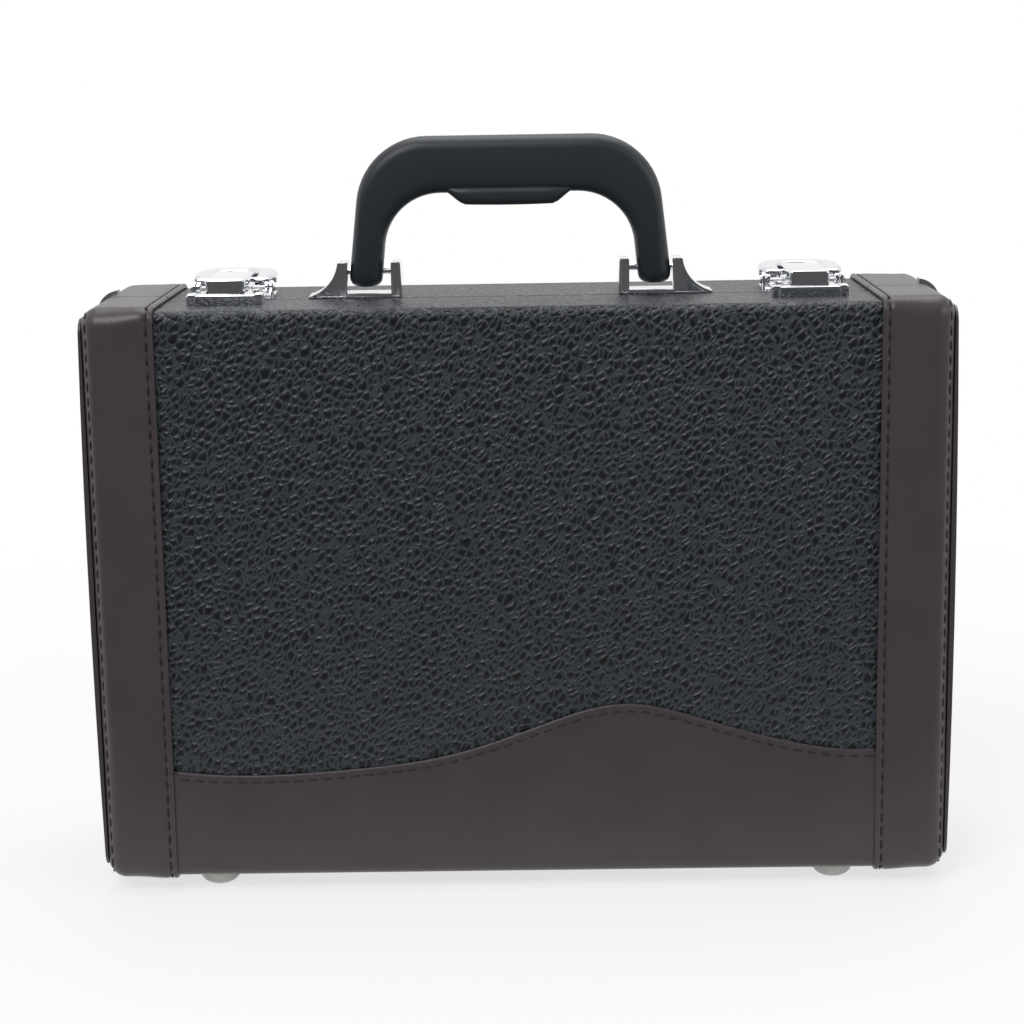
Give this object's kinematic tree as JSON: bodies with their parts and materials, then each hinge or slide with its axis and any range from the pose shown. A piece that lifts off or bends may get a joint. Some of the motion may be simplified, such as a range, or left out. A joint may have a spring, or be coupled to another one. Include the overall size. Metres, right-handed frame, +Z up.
{
  "type": "clarinet case",
  "caption": "Attache-style clarinet case with a hinged lid, draw latches, carrying handle, strap rings, padded leather end bands and a fitted plush interior.",
  "frame": {"origin": "on the ground, midway along the width and midway through the depth, the case standing closed on its feet", "axes": "+X to the case's right as seen from its front, +Y to the back, +Z up; the front faces -Y"},
  "size_m": [0.374, 0.102, 0.3151],
  "materials": {
    "pebbled_leather": "pebbled grain, semi-matte black",
    "smooth_leather": "smooth, satin, dark brown-grey",
    "chrome_plate": "polished",
    "nickelled_steel": "plain",
    "handle_plastic": "fine grained black",
    "clear_plastic": "milky translucent",
    "plywood": "raw plywood",
    "plush": "short wine-red pile",
    "black_strip": "matte black",
    "brass_knob": "lacquered"
  },
  "bodies": {
    "back_half": {"accessory_box": "plush", "back_cover": "pebbled_leather", "back_feet": "clear_plastic", "back_foot_screws": "nickelled_steel", "back_hinge_leaves": "nickelled_steel", "back_hinge_rivets": "nickelled_steel", "back_left_band": "smooth_leather", "back_left_end_panel": "smooth_leather", "back_right_band": "smooth_leather", "back_right_end_panel": "smooth_leather", "back_shell": "plywood", "back_wave_panel": "smooth_leather", "bell_tray": "plush", "bracket_rivets": "chrome_plate", "handle_pins": "chrome_plate", "hinge_pins": "nickelled_steel", "joint_tray": "plush", "latch_base_rivets": "chrome_plate", "left_handle_bracket": "chrome_plate", "left_latch_base": "chrome_plate", "left_lever_pins": "chrome_plate", "left_strap_plate": "chrome_plate", "locker_hinge_pin": "nickelled_steel", "right_handle_bracket": "chrome_plate", "right_latch_base": "chrome_plate", "right_lever_pins": "chrome_plate", "right_strap_plate": "chrome_plate", "strap_rivets": "chrome_plate", "tongue_strip": "black_strip"},
    "front_half": {"front_cover": "pebbled_leather", "front_feet": "clear_plastic", "front_foot_screws": "nickelled_steel", "front_hinge_leaves": "nickelled_steel", "front_hinge_rivets": "nickelled_steel", "front_left_band": "smooth_leather", "front_left_end_panel": "smooth_leather", "front_right_band": "smooth_leather", "front_right_end_panel": "smooth_leather", "front_shell": "plywood", "front_wave_panel": "smooth_leather", "lid_lining": "plush", "left_strike": "chrome_plate", "right_strike": "chrome_plate", "strike_rivets": "chrome_plate"},
    "handle": {"handle": "handle_plastic"},
    "left_lever": {"left_lever": "chrome_plate", "left_hook_pin": "chrome_plate"},
    "right_lever": {"right_lever": "chrome_plate", "right_hook_pin": "chrome_plate"},
    "left_hook": {"left_hook": "chrome_plate"},
    "right_hook": {"right_hook": "chrome_plate"},
    "left_ring": {"left_strap_ring": "chrome_plate"},
    "right_ring": {"right_strap_ring": "chrome_plate"},
    "locker_lid": {"locker_lid": "plush", "locker_knob": "brass_knob"}
  },
  "joints": [
    {"name": "lid_hinge", "type": "hinge", "parent": "back_half", "child": "front_half", "pos_m": [0, -0.007, 0.005], "axis": [1, 0, 0], "range_deg": [0, 110]},
    {"name": "handle_swing", "type": "hinge", "parent": "back_half", "child": "handle", "pos_m": [-0.003, 0.0011, 0.2588], "axis": [1, 0, 0], "range_deg": [-88, 88]},
    {"name": "left_lever_hinge", "type": "hinge", "parent": "back_half", "child": "left_lever", "pos_m": [-0.121, 0.0025, 0.2527], "axis": [1, 0, 0], "range_deg": [0, 100]},
    {"name": "right_lever_hinge", "type": "hinge", "parent": "back_half", "child": "right_lever", "pos_m": [0.121, 0.0025, 0.2527], "axis": [1, 0, 0], "range_deg": [0, 100]},
    {"name": "left_hook_hinge", "type": "hinge", "parent": "left_lever", "child": "left_hook", "pos_m": [-0.121, 0.0075, 0.2552], "axis": [1, 0, 0], "range_deg": [-115, 0]},
    {"name": "right_hook_hinge", "type": "hinge", "parent": "right_lever", "child": "right_hook", "pos_m": [0.121, 0.0075, 0.2552], "axis": [1, 0, 0], "range_deg": [-115, 0]},
    {"name": "left_ring_swing", "type": "hinge", "parent": "back_half", "child": "left_ring", "pos_m": [-0.1842, 0.006, 0.2332], "axis": [0, 1, 0], "range_deg": [0, 160]},
    {"name": "right_ring_swing", "type": "hinge", "parent": "back_half", "child": "right_ring", "pos_m": [0.1842, 0.006, 0.2332], "axis": [0, -1, 0], "range_deg": [0, 160]},
    {"name": "locker_lid_hinge", "type": "hinge", "parent": "back_half", "child": "locker_lid", "pos_m": [0.11065, -0.0058, 0.023], "axis": [1, 0, 0], "range_deg": [0, 90]}
  ],
  "couplings": [
    {"joint": "left_hook_hinge", "follows": "left_lever_hinge", "ratio": -1.15},
    {"joint": "right_hook_hinge", "follows": "right_lever_hinge", "ratio": -1.15}
  ]
}
